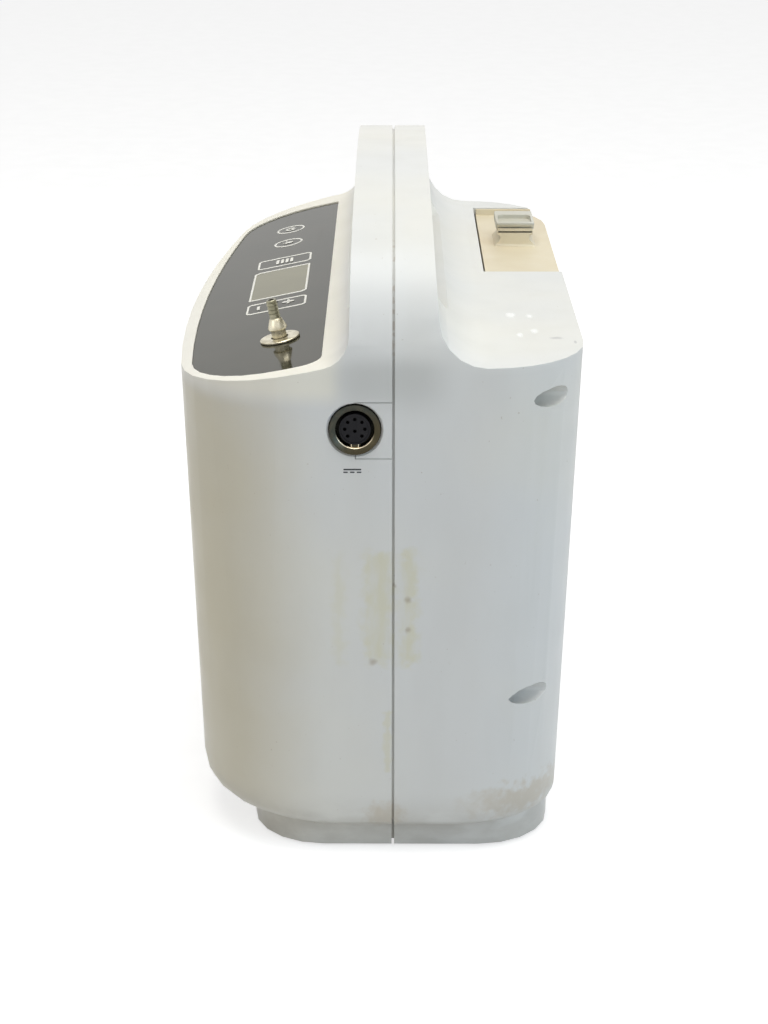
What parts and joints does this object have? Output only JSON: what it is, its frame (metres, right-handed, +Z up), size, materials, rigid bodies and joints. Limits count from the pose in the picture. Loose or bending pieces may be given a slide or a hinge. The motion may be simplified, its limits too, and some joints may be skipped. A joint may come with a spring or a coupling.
{
  "type": "portable oxygen concentrator",
  "caption": "Upright two-shell housing with an arched handle, sloping control panel, barbed outlet, power socket and a lift-out battery.",
  "frame": {"origin": "the surface the unit stands on, at the middle of its bounding box", "axes": "+Z up; +X towards the battery side; -X towards the control panel side; -Y towards the end with the power socket"},
  "size_m": [0.1565, 0.2918, 0.2564],
  "materials": {
    "white_plastic": "satin",
    "panel_film": "gloss",
    "aged_plastic": "satin",
    "cap_plastic": "satin",
    "display": "gloss",
    "barb_metal": "satin",
    "ring_metal": "satin",
    "black_plastic": "satin",
    "grey_plastic": "matt",
    "cast_metal": "satin",
    "steel": "satin",
    "circuit_board": "satin",
    "silicone": "satin",
    "rubber": "matt",
    "foam": "matt"
  },
  "bodies": {
    "unit": {"front_shell": "white_plastic", "rear_shell": "white_plastic", "socket_insert": "white_plastic", "control_overlay": "panel_film", "lcd_window": "display", "outlet_barb": "barb_metal", "barb_washer": "barb_metal", "dc_socket_shell": "ring_metal", "dc_socket_core": "black_plastic", "battery_connector": "black_plastic", "fan_frame": "black_plastic", "speaker": "black_plastic", "solenoid_valve_1": "black_plastic", "solenoid_valve_2": "black_plastic", "battery_bay": "grey_plastic", "exhaust_grille": "grey_plastic", "chassis": "grey_plastic", "valve_block": "grey_plastic", "lcd_module": "grey_plastic", "compressor_block": "cast_metal", "sieve_bed_a": "cast_metal", "sieve_bed_b": "cast_metal", "product_tank": "cast_metal", "barb_nut": "cast_metal", "compressor_motor": "steel", "case_screw_1": "steel", "case_screw_2": "steel", "case_screw_3": "steel", "case_screw_4": "steel", "main_board": "circuit_board", "display_board": "circuit_board", "outlet_tube": "silicone", "foot_1": "rubber", "foot_2": "rubber", "foot_3": "rubber", "foot_4": "rubber", "rubber_mount_1": "rubber", "rubber_mount_2": "rubber", "rubber_mount_3": "rubber", "rubber_mount_4": "rubber", "inlet_filter": "foam"},
    "battery": {"battery_case": "grey_plastic", "battery_deck": "aged_plastic"},
    "latch": {"battery_latch": "cap_plastic"},
    "power_key": {"key_power": "panel_film"},
    "alarm_key": {"key_alarm": "panel_film"},
    "mode_key": {"key_mode": "panel_film"},
    "minus_key": {"key_minus": "panel_film"},
    "plus_key": {"key_plus": "panel_film"},
    "fan": {"fan_rotor": "black_plastic"},
    "crank": {"crank_wheel": "steel"},
    "cover": {"inlet_cover": "white_plastic"}
  },
  "joints": [
    {"name": "battery_lift", "type": "slide", "parent": "unit", "child": "battery", "axis": [0, 0, 1], "range_m": [0, 0.175]},
    {"name": "latch_slide", "type": "slide", "parent": "battery", "child": "latch", "axis": [0, 1, 0], "range_m": [0, 0.003], "stiffness_N_per_m": 400, "springref_m": -0.001},
    {"name": "power_key_press", "type": "slide", "parent": "unit", "child": "power_key", "axis": [0.2055, 0.0124, -0.9786], "range_m": [0, 0.0005], "stiffness_N_per_m": 1500, "springref_m": -0.0003},
    {"name": "alarm_key_press", "type": "slide", "parent": "unit", "child": "alarm_key", "axis": [0.2055, 0.0124, -0.9786], "range_m": [0, 0.0005], "stiffness_N_per_m": 1500, "springref_m": -0.0003},
    {"name": "mode_key_press", "type": "slide", "parent": "unit", "child": "mode_key", "axis": [0.2055, 0.0124, -0.9786], "range_m": [0, 0.0005], "stiffness_N_per_m": 1500, "springref_m": -0.0003},
    {"name": "minus_key_press", "type": "slide", "parent": "unit", "child": "minus_key", "axis": [0.2055, 0.0124, -0.9786], "range_m": [0, 0.0005], "stiffness_N_per_m": 1500, "springref_m": -0.0003},
    {"name": "plus_key_press", "type": "slide", "parent": "unit", "child": "plus_key", "axis": [0.2055, 0.0124, -0.9786], "range_m": [0, 0.0005], "stiffness_N_per_m": 1500, "springref_m": -0.0003},
    {"name": "fan_spin", "type": "hinge", "parent": "unit", "child": "fan", "pos_m": [0.024, 0.126, 0.0356], "axis": [0, 1, 0], "continuous": true},
    {"name": "crank_spin", "type": "hinge", "parent": "unit", "child": "crank", "pos_m": [-0.008, -0.1, 0.08], "axis": [0, 1, 0], "continuous": true},
    {"name": "cover_pull", "type": "slide", "parent": "unit", "child": "cover", "axis": [-1, 0, 0], "range_m": [0, 0.02]}
  ]
}
